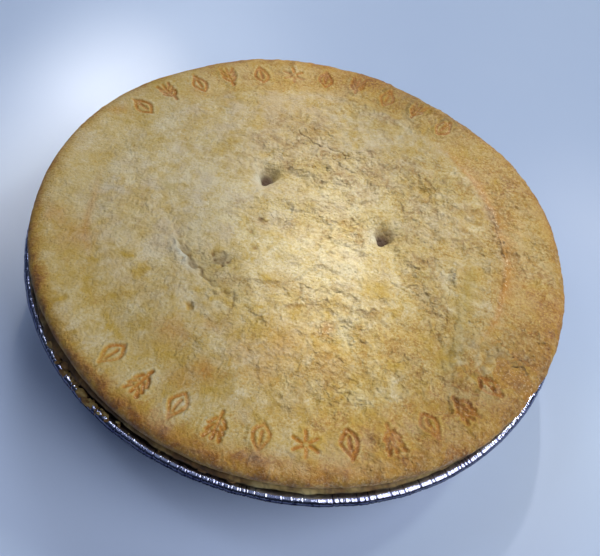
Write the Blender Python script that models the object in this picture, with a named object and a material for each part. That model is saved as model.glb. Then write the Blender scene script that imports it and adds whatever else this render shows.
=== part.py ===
"""A meat and potato pie, baked in its round foil dish.

Metres, +Z up. The origin is on the table, under the middle of the dish. The pie is made the way a
baker makes it: a foil dish, the pastry case with its filling inside it, and a pastry lid laid on
the case. +Y points away from the viewer and +X to the right.
"""

import math
import random

import bmesh
import bpy
from mathutils import Euler, Vector, noise

MM = 0.001
GAP = 0.3 * MM  # left between two pieces that lie on each other

# The foil dish: a pressed sheet whose leaning wall ends in a rolled bead.
RIM_RADIUS = 105.7 * MM
DISH_HEIGHT = 31.8 * MM
BEAD_RADIUS = 1.8 * MM
FOIL = 0.4 * MM
WALL_LEAN = math.radians(27.0)
CORNER_RADIUS = 5.0 * MM  # the outer face's, where the wall meets the base
CORNER_SPANS = 2
PANEL_RADIUS = 57.0 * MM
PANEL_RISE = 1.2 * MM
PANEL_STEP = 2.0 * MM
BEAD_START = math.pi - WALL_LEAN
BEAD_END = math.radians(-135.0)
BEAD_SPANS = 5
PLEATS = 45
PLEAT_DEPTH = 0.35 * MM
PLEAT_SHARES = (0.0, 0.3, 0.9, 0.7)  # at the corner's points and the top of the wall
BEAD_PLEAT_SHARE = 0.25
PLEAT_SEED = 7

# The pastry case and its filling, up to where the lid lies on it.
CASE_CLEARANCE = 0.8 * MM  # to the pleated wall
CASE_SEGMENTS = 80
LEDGE_RADIUS = 103.0 * MM
LEDGE_BOTTOM = 32.6 * MM
LEDGE_UNDERCUT = 0.9 * MM
LEDGE_BEVEL = 1.2 * MM
LEDGE_ROUGHNESS = 0.9 * MM
LEDGE_LUMP = 5.0 * MM
JOINT_EDGE = 35.3 * MM  # the height at which the lid's edge meets the case
JOINT_RISE = 4.4 * MM
JOINT_SHARES = (0.8, 0.5)  # of the lid's radius, where the joint has a ring of points

# The lid: a low dome, a pressed band round it, and a rounded edge that hangs over the case.
PIE_CENTRE = Vector((0.4 * MM, 0.5 * MM, 0.0))
LID_RADIUS = 104.0 * MM
LID_WIDEST = 39.3 * MM  # the height of the edge's widest line
BAND_HEIGHT = 42.7 * MM
BAND_INNER = 81.0 * MM
BAND_OUTER = 96.6 * MM
BAND_STEP = 0.9 * MM
DOME_RISE = 2.6 * MM
EDGE_TUCK = 1.8 * MM  # how far the edge turns back in below its widest line
LID_RINGS = 21
SHOULDER_SPANS = 4
TUCK_SPANS = 2
# Where the edge stands out of a true circle, or in: degrees round, how wide in degrees, how far.
BULGES = (
    (31.0, 13.0, 1.3 * MM),
    (65.0, 12.0, -1.4 * MM),
    (110.0, 13.0, 0.8 * MM),
    (131.0, 8.0, -1.0 * MM),
    (159.0, 9.0, 0.5 * MM),
    (228.0, 16.0, -1.1 * MM),
    (318.0, 18.0, 0.6 * MM),
)
LUMP_SIZE = 21.0 * MM
LUMP_HEIGHT = 0.55 * MM

# Steam vents: where the lid is pierced, the funnel that each opens from, and the dip round it.
VENTS = ((-20.0 * MM, 22.0 * MM), (30.2 * MM, 5.5 * MM))
VENT_RADIUS = 1.5 * MM
VENT_LENGTH = 1.4  # how much longer than wide a funnel is
VENT_TURN = math.radians(-12.0)
VENT_FUNNEL = ((4.0 * MM, 1.0), (2.4 * MM, 1.5), (0.9 * MM, 2.4), (-0.5 * MM, 4.0))
VENT_SIDES = 12
VENT_DIP = 1.0 * MM
VENT_DIP_WIDTH = 9.0 * MM
CLOSED_VENT = (-28.0 * MM, -25.5 * MM)
CLOSED_VENT_DEPTH = 1.5 * MM
PIT = (-32.2 * MM, -47.8 * MM)
PIT_RADIUS = 1.4 * MM
PIT_DEPTH = 1.6 * MM

# Slumps and a furrow in the lid, each from a middle or along a line.
SLUMP = (-8.0 * MM, -4.0 * MM)
SLUMP_RADIUS = 42.0 * MM
SLUMP_DEPTH = 1.3 * MM
FURROW = ((62.0 * MM, -4.0 * MM), (57.5 * MM, -50.0 * MM))
FURROW_WIDTH = 4.0 * MM
FURROW_DEPTH = 0.9 * MM

# Cracks: a broken fold at the slump's edge, and a hairline beyond the first vent. Their places are
# in millimetres.
FOLD = ((-50.0, -13.0), (-45.0, -22.5), (-37.0, -30.5), (-28.5, -37.0), (-19.0, -43.0))
HAIRLINE = ((-13.0, 50.5), (-7.0, 46.0), (1.5, 44.6), (10.5, 42.5))
FOLD_WIDTH = 1.9 * MM
FOLD_DEPTH = 0.9 * MM
HAIRLINE_WIDTH = 0.8 * MM
HAIRLINE_DEPTH = 0.6 * MM

# The stamped ornament: two runs of leaves and wheat ears round a rosette, pressed in the band.
STAMP_RADIUS = 91.4 * MM
STAMP_HEIGHT = 10.4 * MM
STAMP_STEP = math.radians(9.2)
STAMPS_IN_RUN = 11
STAMP_RUNS = (math.radians(104.5), math.radians(280.5))  # the middle of each run
STROKE_WIDTH = 1.5 * MM
STROKE_DEPTH = 0.85 * MM
STROKE_LIFT = 0.9 * MM  # how far a cutter stands above the band
LEAF_WIDTH = 5.8 * MM
LEAF_SPANS = 5
EAR_BARBS = 3
ROSETTE_PETALS = 6


def polar(radius, angle, height=0.0):
    return Vector((radius * math.cos(angle), radius * math.sin(angle), height))


def bridge(first, second):
    """Triangles between two closed rings of vertex numbers, which may differ in count."""
    faces = []
    i, j = 0, 0
    ends = (len(first) if len(first) > 1 else 0, len(second) if len(second) > 1 else 0)
    while i < ends[0] or j < ends[1]:
        a, b = first[i % len(first)], second[j % len(second)]
        if j == ends[1] or (i < ends[0] and (i + 1) * ends[1] <= (j + 1) * ends[0]):
            i += 1
            faces.append((a, first[i % len(first)], b))
        else:
            j += 1
            faces.append((a, second[j % len(second)], b))
    return faces


def ring_solid(rings, looped=False):
    """Points and faces of a closed solid, from its rings of points in order.

    It has one point at each end, or is looped, with its last ring joined to its first.
    """
    points, faces, numbered = [], [], []
    for ring in rings:
        numbered.append(list(range(len(points), len(points) + len(ring))))
        points += ring
    for first, second in zip(numbered, numbered[1:]):
        faces += bridge(first, second)
    if looped:
        faces += bridge(numbered[-1], numbered[0])
    return points, faces


def add_object(name, solids, material=None, smooth_angle=math.radians(40.0)):
    """One object whose mesh holds the given solids, each as points and faces, facing outwards."""
    mesh = bpy.data.meshes.new(name)
    points, faces = [], []
    for solid_points, solid_faces in solids:
        start = len(points)
        points += solid_points
        faces += [tuple(start + n for n in face) for face in solid_faces]
    mesh.from_pydata(points, [], faces)
    shape = bmesh.new()
    shape.from_mesh(mesh)
    bmesh.ops.recalc_face_normals(shape, faces=shape.faces)
    shape.to_mesh(mesh)
    shape.free()
    mesh.shade_smooth()
    mesh.set_sharp_from_angle(angle=smooth_angle)
    if material:
        mesh.materials.append(material)
    made = bpy.data.objects.new(name, mesh)
    bpy.context.scene.collection.objects.link(made)
    return made


def add_material(name, colour, roughness, metallic=0.0):
    material = bpy.data.materials.new(name)
    material.use_nodes = True
    shader = material.node_tree.nodes["Principled BSDF"]
    shader.inputs["Base Color"].default_value = (*colour, 1.0)
    shader.inputs["Roughness"].default_value = roughness
    shader.inputs["Metallic"].default_value = metallic
    material.diffuse_color = (*colour, 1.0)
    return material


def cut(target, cutter):
    """Takes the cutter's shape out of the target, and keeps the cutter as a hidden guide."""
    modifier = target.modifiers.new(cutter.name, "BOOLEAN")
    modifier.operation = "DIFFERENCE"
    modifier.solver = "EXACT"
    modifier.object = cutter
    cutter.hide_render = True
    cutter.display_type = "WIRE"


# ---------------------------------------------------------------- foil dish


def bead_centre():
    return RIM_RADIUS - BEAD_RADIUS, DISH_HEIGHT - BEAD_RADIUS


def wall_top():
    """Radius and height where the wall's inner face runs into the bead."""
    radius, height = bead_centre()
    return (
        radius + BEAD_RADIUS * math.cos(BEAD_START),
        height + BEAD_RADIUS * math.sin(BEAD_START),
    )


def wall_radius(height):
    """The wall's inner face at a height."""
    radius, top = wall_top()
    return radius - (top - height) * math.tan(WALL_LEAN)


def corner_arc(depths):
    """The round corner at the foot of the wall: a point for each depth below the food's side."""
    inner = CORNER_RADIUS - FOIL
    lean = Vector((math.cos(WALL_LEAN), -math.sin(WALL_LEAN)))
    middle = wall_radius(CORNER_RADIUS + inner * lean.y) - inner * lean.x
    arc = []
    for step, depth in enumerate(depths):
        angle = -math.pi / 2 + (math.pi / 2 - WALL_LEAN) * step / CORNER_SPANS
        reach = inner + depth
        arc.append((middle + reach * math.cos(angle), CORNER_RADIUS + reach * math.sin(angle)))
    return arc


def foil_face(depth):
    """One face of the sheet from the middle to the bead's end, as (radius, height, pleat share).

    depth is 0 for the face that holds the food and FOIL for the face below it.
    """
    base = FOIL - depth
    bead_r, bead_z = bead_centre()
    top = bead_z - 0.6 * BEAD_RADIUS
    profile = [
        (0.0, base + PANEL_RISE, 0.0),
        (PANEL_RADIUS - PANEL_STEP, base + PANEL_RISE, 0.0),
        (PANEL_RADIUS, base, 0.0),
    ]
    wall = corner_arc([depth] * (CORNER_SPANS + 1))
    wall.append((wall_radius(top) + depth / math.cos(WALL_LEAN), top))
    profile += [(*place, share) for place, share in zip(wall, PLEAT_SHARES)]
    for step in range(BEAD_SPANS + 1):
        angle = BEAD_START + (BEAD_END - BEAD_START) * step / BEAD_SPANS
        radius = BEAD_RADIUS - depth
        place = (bead_r + radius * math.cos(angle), bead_z + radius * math.sin(angle))
        profile.append((*place, BEAD_PLEAT_SHARE))
    return profile


def make_dish():
    """The foil dish: both faces of the sheet as rings, with pleats of uneven depth in the wall."""
    draw = random.Random(PLEAT_SEED)
    columns = 2 * PLEATS
    pleats = [
        (1 if column % 2 else -1) * PLEAT_DEPTH * draw.uniform(0.35, 1.0)
        for column in range(columns)
    ]
    rings = []
    for radius, height, share in foil_face(0.0) + foil_face(FOIL)[::-1]:
        if radius == 0.0:
            rings.append([Vector((0.0, 0.0, height))])
            continue
        rings.append([
            polar(radius + share * pleat, 2 * math.pi * column / columns, height)
            for column, pleat in enumerate(pleats)
        ])
    foil = add_material("foil", (0.80, 0.82, 0.85), 0.25, metallic=1.0)
    return add_object("foil_dish", [ring_solid(rings)], foil, math.radians(25.0))


# ---------------------------------------------------------------- pastry case


def joint_height(radius):
    """The height of the lid's underside, which the case's top follows a gap below."""
    return JOINT_EDGE + JOINT_RISE * (1.0 - min(1.0, radius / LID_RADIUS) ** 2)


def make_case():
    """The filled pastry case: solid, as nothing inside it shows, with a rough ledge at the rim."""
    inset = FOIL + GAP
    neck = DISH_HEIGHT - BEAD_RADIUS
    profile = [
        (0.0, PANEL_RISE + inset),
        (PANEL_RADIUS, PANEL_RISE + inset),
        (PANEL_RADIUS + PANEL_STEP, inset),
        *corner_arc((-GAP, -0.5 * (GAP + CASE_CLEARANCE), -CASE_CLEARANCE)),
        (wall_radius(neck) - CASE_CLEARANCE, neck),
    ]
    brim = LEDGE_RADIUS - LEDGE_BEVEL
    ledge = [
        (LEDGE_RADIUS - LEDGE_UNDERCUT, LEDGE_BOTTOM),
        (LEDGE_RADIUS, 0.5 * (LEDGE_BOTTOM + JOINT_EDGE)),
        (brim, joint_height(brim) - GAP),
    ]
    top = [
        (share * LID_RADIUS, joint_height(share * LID_RADIUS) - GAP)
        for share in (*JOINT_SHARES, 0.0)
    ]
    rings = [
        [polar(radius, 2 * math.pi * n / CASE_SEGMENTS, height) for n in range(CASE_SEGMENTS)]
        if radius
        else [Vector((0.0, 0.0, height))]
        for radius, height in profile + ledge + top
    ]
    for ring in rings[len(profile) : len(profile) + len(ledge)]:
        for point in ring:
            point.xy *= 1.0 + LEDGE_ROUGHNESS * noise.noise(point / LEDGE_LUMP) / LEDGE_RADIUS
    for point in ring:
        point.z = joint_height(point.xy.length) - GAP
    crust = add_material("case_crust", (0.47, 0.31, 0.12), 0.75)
    return add_object("pastry_case", [ring_solid(rings)], crust)


# ---------------------------------------------------------------- pastry lid


def dip(x, y, middle, width):
    """A soft round dip, 1 at its middle and near 0 at twice its width."""
    return math.exp(-((x - middle[0]) ** 2 + (y - middle[1]) ** 2) / width**2)


def furrow_share(x, y):
    """1 along the furrow's line, falling off beside it and past its ends."""
    start, end = Vector(FURROW[0]), Vector(FURROW[1])
    along = (Vector((x, y)) - start).dot(end - start) / (end - start).length_squared
    nearest = start + (end - start) * min(1.0, max(0.0, along))
    return math.exp(-((Vector((x, y)) - nearest).length / FURROW_WIDTH) ** 2)


def lid_height(x, y):
    """The lid's top at a place within its band."""
    radius = math.hypot(x, y)
    inside = min(1.0, max(0.0, (BAND_INNER + 1.5 * MM - radius) / (3.0 * MM)))
    dome = DOME_RISE * max(0.0, 1.0 - (radius / BAND_INNER) ** 2)
    height = BAND_HEIGHT + dome + BAND_STEP * inside * inside * (3.0 - 2.0 * inside)
    height += LUMP_HEIGHT * noise.noise(Vector((x, y, 0.0)) / LUMP_SIZE)
    height -= SLUMP_DEPTH * dip(x, y, SLUMP, SLUMP_RADIUS)
    height -= FURROW_DEPTH * furrow_share(x, y)
    height -= CLOSED_VENT_DEPTH * dip(x, y, CLOSED_VENT, VENT_DIP_WIDTH)
    for vent in VENTS:
        height -= VENT_DIP * dip(x, y, vent, VENT_DIP_WIDTH)
    return height


def outline_offset(angle):
    """How far the lid's edge stands out of a true circle at an angle."""
    offset = 0.0
    for middle, width, size in BULGES:
        apart = (math.degrees(angle) - middle + 180.0) % 360.0 - 180.0
        offset += size * math.exp(-((apart / width) ** 2))
    return offset


def edge_ring(radius, count):
    """A ring of the lid's edge, level with its widest line, which follows the uneven outline."""
    angles = [2 * math.pi * n / count for n in range(count)]
    return [polar(radius + outline_offset(angle), angle, LID_WIDEST) for angle in angles]


def lid_rings():
    """The lid from the middle of its top, over the edge, to the middle of its underside."""
    rings = [[Vector((0.0, 0.0, lid_height(0.0, 0.0)))]]
    for number in range(1, LID_RINGS + 1):
        radius = BAND_OUTER * number / LID_RINGS
        count = 6 * number
        ring = [polar(radius, 2 * math.pi * n / count) for n in range(count)]
        for point in ring:
            point.z = lid_height(point.x, point.y)
        rings.append(ring)
    brow = rings[-1]
    count = len(brow)
    overhang = LID_RADIUS - BAND_OUTER
    for step in range(1, SHOULDER_SPANS + 1):
        turn = 0.5 * math.pi * step / SHOULDER_SPANS
        ring = edge_ring(BAND_OUTER + overhang * math.sin(turn), count)
        for point, above in zip(ring, brow):
            point.z += (above.z - LID_WIDEST) * math.cos(turn)
        rings.append(ring)
    for step in range(1, TUCK_SPANS + 1):
        turn = 0.5 * math.pi * step / TUCK_SPANS
        ring = edge_ring(LID_RADIUS - EDGE_TUCK * (1.0 - math.cos(turn)), count)
        for point in ring:
            point.z -= (LID_WIDEST - joint_height(point.xy.length)) * math.sin(turn)
        rings.append(ring)
    for share in JOINT_SHARES:
        radius = share * LID_RADIUS
        half = count // 2
        height = joint_height(radius)
        rings.append([polar(radius, 2 * math.pi * n / half, height) for n in range(half)])
    rings.append([Vector((0.0, 0.0, joint_height(0.0)))])
    return rings


def groove_cutter(line, width, depth, looped=False):
    """A V-shaped cutter along (x, y) places on the lid, looped or with pointed ends."""
    places = [Vector(place) for place in line]
    last = len(places) - 1
    rings = []
    for number, place in enumerate(places):
        height = lid_height(*place)
        if not looped and number in (0, last):
            rings.append([Vector((*place, height + 0.2 * STROKE_LIFT))])
            continue
        along = places[(number + 1) % len(places)] - places[number - 1]
        across = Vector((-along.y, along.x)).normalized()
        half = 0.5 * width * (depth + STROKE_LIFT) / depth
        rings.append([
            Vector((*(place + half * across), height + STROKE_LIFT)),
            Vector((*place, height - depth)),
            Vector((*(place - half * across), height + STROKE_LIFT)),
        ])
    return ring_solid(rings, looped)


def leaf_lines():
    """A leaf, as (sideways, outwards) shares of the stamp's height: its outline and a rib."""
    half = 0.5 * LEAF_WIDTH / STAMP_HEIGHT
    shares = [step / LEAF_SPANS for step in range(LEAF_SPANS + 1)]
    side = [(half * math.sin(math.pi * t**0.8) ** 1.4, t - 0.5) for t in shares]
    outline = side + [(-u, v) for u, v in side[-2:0:-1]]
    return [(outline, True), ([(0.0, -0.24), (0.0, 0.0), (0.0, 0.24)], False)]


def ear_lines():
    """An ear of wheat: a stem and pairs of barbs that lean outwards from it."""
    lines = [([(0.0, -0.5), (0.0, 0.0), (0.0, 0.5)], False)]
    for pair in range(EAR_BARBS):
        foot = -0.22 + 0.24 * pair
        for side in (-1, 1):
            barb = [(side * x, foot + y) for x, y in ((0.11, 0.0), (0.20, 0.12), (0.27, 0.26))]
            lines.append((barb, False))
    return lines


def rosette_lines():
    """A rosette: short petals round an empty middle."""
    lines = []
    for petal in range(ROSETTE_PETALS):
        turn = 2 * math.pi * (petal + 0.5) / ROSETTE_PETALS
        reach = [(r * math.cos(turn), r * math.sin(turn)) for r in (0.14, 0.30, 0.46)]
        lines.append((reach, False))
    return lines


def stamp_lines(number):
    """The lines of a stamp by its place in the run, each with whether it is looped."""
    if number == STAMPS_IN_RUN // 2:
        return rosette_lines()
    return ear_lines() if number % 2 else leaf_lines()


def stamp_grooves():
    """Cutters of every stamped line, placed round the band."""
    grooves = []
    for middle in STAMP_RUNS:
        for number in range(STAMPS_IN_RUN):
            angle = middle + (number - STAMPS_IN_RUN // 2) * STAMP_STEP
            outwards = Vector((math.cos(angle), math.sin(angle)))
            sideways = Vector((-outwards.y, outwards.x))
            for line, looped in stamp_lines(number):
                places = [
                    outwards * (STAMP_RADIUS + v * STAMP_HEIGHT) + sideways * (u * STAMP_HEIGHT)
                    for u, v in line
                ]
                grooves.append(groove_cutter(places, STROKE_WIDTH, STROKE_DEPTH, looped))
    return grooves


def crack_grooves():
    """Cutters of the broken fold and the hairline crack."""
    cracks = ((FOLD, FOLD_WIDTH, FOLD_DEPTH), (HAIRLINE, HAIRLINE_WIDTH, HAIRLINE_DEPTH))
    return [
        groove_cutter([(x * MM, y * MM) for x, y in line], width, depth)
        for line, width, depth in cracks
    ]


def hole_cutter(place, levels, length=1.0, turn=0.0):
    """A hole's cutter from its (height, radius) levels, an oval that is longer by length."""
    rings = [[Vector((*place, levels[0][0]))]]
    for height, radius in levels:
        ring = []
        for n in range(VENT_SIDES):
            point = polar(radius, 2 * math.pi * n / VENT_SIDES)
            point.y *= length
            point.rotate(Euler((0.0, 0.0, turn)))
            ring.append(point + Vector((*place, height)))
        rings.append(ring)
    rings.append([Vector((*place, levels[-1][0]))])
    return ring_solid(rings)


def vent_cutter(vent):
    """A steam vent's cutter: a hole right through the lid, which opens into a funnel."""
    surface = lid_height(*vent)
    funnel = [(surface - depth, share * VENT_RADIUS) for depth, share in VENT_FUNNEL]
    levels = [(JOINT_EDGE, VENT_RADIUS), *funnel, (BAND_HEIGHT + 2 * DOME_RISE, funnel[-1][1])]
    return hole_cutter(vent, levels, VENT_LENGTH, VENT_TURN)


def make_lid():
    """The lid, with its stamped band, cracks, pit and the two steam vents that pierce it."""
    crust = add_material("lid_crust", (0.66, 0.48, 0.22), 0.6)
    lid = add_object("pastry_lid", [ring_solid(lid_rings())], crust)
    surface = lid_height(*PIT)
    pit = [(surface - PIT_DEPTH, 0.6 * PIT_RADIUS), (surface + PIT_DEPTH, 1.4 * PIT_RADIUS)]
    holes = [vent_cutter(vent) for vent in VENTS] + [hole_cutter(PIT, pit)]
    cutters = (
        add_object("stamp_cutter", stamp_grooves()),
        add_object("crack_cutter", crack_grooves()),
        add_object("hole_cutter", holes),
    )
    for cutter in cutters:
        cutter.parent = lid
        cut(lid, cutter)
    lid.location = PIE_CENTRE
    return lid


def main():
    for left in list(bpy.data.objects):
        bpy.data.objects.remove(left)
    make_dish()
    make_case()
    make_lid()


main()
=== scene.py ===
"""The look of a meat and potato pie in its foil dish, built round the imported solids.

Sizes are in millimetres here and become metres where a mesh is made. Each of the three solids is
replaced by a fine mesh of the same form: the lid with its crackled, browned crust, the case with
its torn ledge, and the crinkled foil. Crumbs that lie on the foil's bead are a fourth piece.
+Y points away from the viewer and +X to the right; the origin is on the table. Places round the
pie are in degrees from +X.
"""

import math
import random

import bmesh
import bpy
import numpy as np
from mathutils import Matrix, Vector, noise


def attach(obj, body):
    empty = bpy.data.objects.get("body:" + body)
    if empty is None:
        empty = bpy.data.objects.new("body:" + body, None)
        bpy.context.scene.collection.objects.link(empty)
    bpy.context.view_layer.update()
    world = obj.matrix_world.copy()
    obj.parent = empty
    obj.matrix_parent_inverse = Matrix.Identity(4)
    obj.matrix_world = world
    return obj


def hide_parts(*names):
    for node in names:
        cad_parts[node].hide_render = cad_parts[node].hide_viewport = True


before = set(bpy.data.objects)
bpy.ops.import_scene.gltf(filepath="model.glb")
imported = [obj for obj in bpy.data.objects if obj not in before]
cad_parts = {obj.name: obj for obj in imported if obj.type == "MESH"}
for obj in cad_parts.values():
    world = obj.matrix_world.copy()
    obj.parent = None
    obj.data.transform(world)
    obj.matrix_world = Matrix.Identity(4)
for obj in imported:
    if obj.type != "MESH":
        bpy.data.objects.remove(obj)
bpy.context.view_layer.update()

MM = 0.001
ROUND = 2 * math.pi

# The camera: where it stands, how far it looks down and how it is rolled.
CAMERA_PLACE = (2.3, -221, 292.4)
CAMERA_DOWN = math.radians(51.67)
CAMERA_ROLL = math.radians(13.97)
CAMERA_LENS = 51.6
CAMERA_SENSOR = 36
CAMERA_CLIP = 0.01

# The lid's driving sizes, as the solids have them.
PIE_CENTRE = (0.4, 0.5)
LID_RADIUS = 104
LID_WIDEST = 39.3
BAND_HEIGHT = 42.7
BAND_INNER = 81
BAND_OUTER = 96.6
BAND_STEP = 0.9
STEP_SHARP = 1.6  # half the width of the band's inner step at the right
STEP_SOFT = 5  # and elsewhere
DOME_RISE = 2.6
EDGE_TUCK = 1.8
JOINT_EDGE = 35.3
JOINT_RISE = 4.4
# Where the edge stands out of a true circle, or in: degrees round, how wide in degrees, how far.
BULGES = (
    (31, 13, 1.3), (65, 12, -1.4), (110, 13, 0.8), (131, 8, -1), (159, 9, 0.5), (228, 16, -1.1),
    (318, 18, 0.6),
)
LUMP_SIZE = 21
LUMP_HEIGHT = 0.55
VENTS = ((-20, 22), (30.2, 5.5))
VENT_LENGTH = 1.4
VENT_TURN = -12
VENT_DIP = 1
VENT_DIP_WIDTH = 9
CLOSED_VENT = (-28, -25.5)
CLOSED_VENT_DEPTH = 1.5
PIT_DEPTH = 1.6
SLUMP = (-8, -4)
SLUMP_RADIUS = 42
SLUMP_DEPTH = 1.3
FURROW = ((62, -4), (57.5, -50))
FURROW_WIDTH = 4
FURROW_DEPTH = 0.9
FOLD = ((-50, -13), (-45, -22.5), (-37, -30.5), (-28.5, -37), (-19, -43))
HAIRLINE = ((-13, 50.5), (-7, 46), (1.5, 44.6), (10.5, 42.5))
FOLD_WIDTH = 1.9
FOLD_DEPTH = 0.9
HAIRLINE_WIDTH = 0.8
HAIRLINE_DEPTH = 0.6

# The stamped ornament in the band.
STAMP_RADIUS = 91.4
STAMP_HEIGHT = 10.4
STAMP_STEP = 9.2
STAMPS_IN_RUN = 11
STAMP_RUNS = (104.5, 280.5)
STROKE_WIDTH = 1.5
STROKE_DEPTH = 0.85
LEAF_WIDTH = 5.8
LEAF_SPANS = 9
EAR_BARBS = 3
ROSETTE_PETALS = 6

# The foil dish's driving sizes, as the solids have them.
RIM_RADIUS = 105.7
DISH_HEIGHT = 31.8
BEAD_RADIUS = 1.8
BEAD_OUT = RIM_RADIUS - BEAD_RADIUS
BEAD_UP = DISH_HEIGHT - BEAD_RADIUS
FOIL = 0.4
WALL_LEAN = math.radians(27)
CORNER_RADIUS = 5
PANEL_RADIUS = 57
PANEL_RISE = 1.2
PANEL_STEP = 2
PLEATS = 45
PLEAT_DEPTH = 0.35
PLEAT_SEED = 7
FLUTE_DEPTH = 0.3
WRINKLE_SEED = 21
WRINKLE_SKEW = 0.0045  # how far round, in radians, a wrinkle leans over the bead
RIM_BULGE = 1.2  # how far the foil's rim is bent out, and where: degrees round, how wide
RIM_BULGE_MIDDLE = 298
RIM_BULGE_WIDTH = 26

# The case and its ledge, as the solids have them.
GAP = 0.3
CASE_CLEARANCE = 0.8
LEDGE_RADIUS = 103
LEDGE_BOTTOM = 32.6
LEDGE_UNDERCUT = 0.9
LEDGE_BEVEL = 1.2

# How fine the meshes are.
TOP_SPACING = 0.76
EDGE_SPACING = 0.75
EDGE_RING_SPACING = 0.9
UNDERSIDE = (0.985, 0.9, 0.6, 0.3, 0)  # the rings under the lid, as shares of its radius
FOIL_COLUMNS = 1280
BEAD_COLUMNS = 3600
LEDGE_COLUMNS = 960

# The vents' holes are a little off the solids' own, and so is the brown pit.
VENT_SHIFT = (-0.9, -2.4)
HOLES = np.array(VENTS) + VENT_SHIFT
BROWN_PIT = (-33.8, -48.9)
# A vent: how far out a point of the even mesh is, where its near wall and its sloping far wall take
# it, and how deep it lies below the crust. All are in mm across the vent's short way.
VENT_PROFILE = (
    (0, 0, 0, 4.2), (0.9, 0.9, 1.6, 4), (1.6, 1.2, 2.9, 3.5), (2.3, 1.4, 3.9, 2.8),
    (3, 1.6, 4.7, 2.1), (3.8, 2.1, 5.4, 1.35), (4.8, 3.5, 6.1, 0.7), (6.2, 5.8, 6.9, 0.2),
    (7.8, 7.8, 7.8, 0),
)
# The hairline crack's finer path, round the solids' own.
HAIRLINE_PATH = (
    (-14, 51.2), (-10.5, 49.6), (-7.2, 48.6), (-6.6, 46), (-1.5, 45.6), (3.5, 45.2), (8, 44),
    (11, 42.6), (14.5, 41.8),
)
# Where the glazed skin has torn: a patch by the edge, and tears with the skin raised left of them.
TORN_PATCH = (86.5, -45.5)
TEARS = (
    ((90.5, -38.2), (85.2, -35.8), (80, -32)),
    ((76.5, -51), (73, -49.2), (69.5, -47.2)),
)
# The furrow's smooth bottom, and the sharp edge of crust that stands left of it.
CHANNEL = ((66, -2), (63.4, -19), (62.4, -36), (60, -48))
RIDGE = ((60.2, -6), (59.8, -18), (59.1, -27), (57.6, -43))
# Seams between plates of crust near the fold; each is raised on its left.
SEAMS = (
    ((-19.1, -32.3), (-13.3, -31.4), (-8, -31.7), (-2.2, -30.8)),
    ((1.3, -25.4), (4.4, -21.9), (9.3, -19.4), (15.9, -17.3)),
    ((-26, -40.1), (-19.2, -40.8), (-17.5, -44.8)),
    ((-14.8, -44), (-9.5, -48.2), (-5.4, -50.1)),
    ((-9.6, 26), (-2.7, 24.9)),
    ((2.9, 16.5), (-2.4, 32.1)),
)
# Small pits in the crust: x, y, radius, depth.
CRUST_PITS = (
    (-31.4, -23.2, 0.9, 1.1), (-30.2, -25.6, 0.7, 0.9), (-27, -27.4, 0.8, 0.9),
    (-25.4, -25, 0.7, 0.7), (-22.2, -27.6, 0.8, 0.8), (-20.3, -9.5, 1.1, 0.9),
    (-22, -8.8, 0.7, 0.7), (-18.4, -2, 1, 0.8), (-17.1, -16.7, 0.9, 0.7),
    (44.9, -8.3, 0.5, 0.5), (46.9, -15, 0.6, 0.6),
)
# Arcs made browner, or paler where the amount is negative: how much, from and to which radius,
# degrees round, how wide. The arc at 320 degrees is painted shade on the lower right, and those at
# 220 and 234 degrees darken the near-left shoulder partly as painted shade.
BAKED_ARCS = (
    (0.15, 40, 70, 320, 46), (0.1, 80, 92, 75, 28), (0.46, 96.5, 103.5, 220, 46),
    (0.4, 102.5, 106.5, 234, 26), (-0.12, 104, 109, 282, 16),
)
# Spots that have baked further: x, y, radius, how much, length, turn in degrees.
BAKED_SPOTS = (
    (-39.3, -62.6, 7, 0.2, 1.5, 60), (-54.5, -49.3, 6, 0.12, 1.2, 30), (-65.3, -53.5, 5, 0.15),
    (-83, -38.7, 5, 0.2, 2, 20), (-27.5, -52.6, 3, 0.14, 1.4, 60), (-19.2, -72.1, 3.4, 0.32, 1.8, 75),
    (14.4, -46, 2.4, 0.4), (89, -34, 4.5, 0.25, 1.6, -60), (-85.3, -48.9, 2.5, 0.12, 1.4, 30),
    (-94, 5.1, 2, 0.12, 1.4, 0),
)
# Amber smears where the glaze is thick: x, y, radius, how much.
AMBER_SPOTS = (
    (-21.4, -71.7, 4, 0.7), (-12.3, -60.7, 4.5, 0.6), (-22.9, -54.9, 3, 0.6), (-35.5, -60.9, 5, 0.6),
    (-28.4, -77.4, 4.5, 0.5), (-3.5, -68.1, 6, 0.5), (14.6, -45.2, 2.8, 1), (2, -55, 8, 0.5),
    (20, -58, 7, 0.4), (-80, -30, 6, 0.6), (-92, -22, 5, 0.6), (-88, 40, 3, 0.6), (-60, 62, 4, 0.5),
)
# Olive and yellow greasy spots: x, y, radius, how much.
OLIVE_SPOTS = (
    (-56.4, 3, 3, 0.8), (-18.4, -2, 2, 1), (-20.3, -9.5, 2.2, 0.9), (-19.9, -29, 1.6, 1),
    (-27.5, -25, 5, 0.6), (47, -12, 4, 0.8), (-46, -62, 9, 0.3), (30, -62, 11, 0.3),
)
# Pale flakes: x, y, radius, how much.
PALE_SPOTS = (
    (-23.7, -11.7, 1.6, 1), (-13.9, -13.6, 1.5, 1), (21.6, -49.6, 1.4, 1), (64.5, -33.6, 1.4, 1),
    (64.5, -43.8, 1.4, 1), (72.1, -43.3, 1.6, 1), (68.2, -16.7, 1.8, 1), (-40, -20, 3, 1),
)
# The smear on the bead: from and to, in degrees round, and over the bead's top from its far side.
SMEAR = (226, 242)
SMEAR_OVER = (150, 0)
SMEAR_COLUMNS = 300
SMEAR_ROWS = 16
CRUMBS = 60
CRUMB_SEED = 12
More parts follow.
